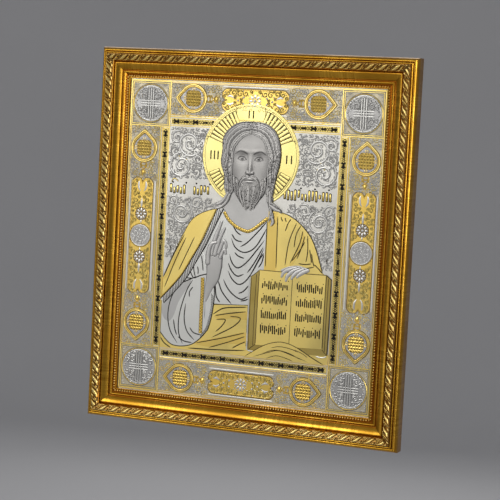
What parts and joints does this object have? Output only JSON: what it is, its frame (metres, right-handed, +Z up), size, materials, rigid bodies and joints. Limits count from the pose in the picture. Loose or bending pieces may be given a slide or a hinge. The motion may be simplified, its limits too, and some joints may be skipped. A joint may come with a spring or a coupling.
{
  "type": "framed icon panel",
  "caption": "Upright wall icon: an engraved, partly gilt metal plate with a haloed figure and a patterned border, in a carved gilt frame with a backing board and a wall hanger.",
  "frame": {"origin": "on the back face of the wall hanger, at the middle of the top rail, where the panel meets the wall", "axes": "+X to the right seen from the front, +Z up, +Y into the wall; the plate faces -Y"},
  "size_m": [0.367, 0.0281, 0.417],
  "materials": {
    "gilt_wood": "gold leaf and bronze paint on wood, satin, darker in the grooves",
    "plate_steel": "nickel plated steel, etched and brushed, with gold plated areas and dark engraved lines",
    "gold_plating": "satin gold plating",
    "dark_engraving": "blackened engraved line",
    "backing": "raw fibreboard, matt",
    "zinc_steel": "zinc plated sheet steel"
  },
  "bodies": {
    "root": {"frame_rail_top": "gilt_wood", "frame_rail_right": "gilt_wood", "frame_rail_bottom": "gilt_wood", "frame_rail_left": "gilt_wood", "icon_plate": "plate_steel", "backing_board": "backing", "hanger_plate": "zinc_steel", "hanger_nail_left": "zinc_steel", "hanger_nail_right": "zinc_steel", "retaining_tab_1": "zinc_steel", "retaining_tab_2": "zinc_steel", "retaining_tab_3": "zinc_steel", "retaining_tab_4": "zinc_steel", "retaining_tab_5": "zinc_steel", "retaining_tab_6": "zinc_steel", "retaining_tab_7": "zinc_steel", "retaining_tab_8": "zinc_steel"}
  },
  "joints": []
}
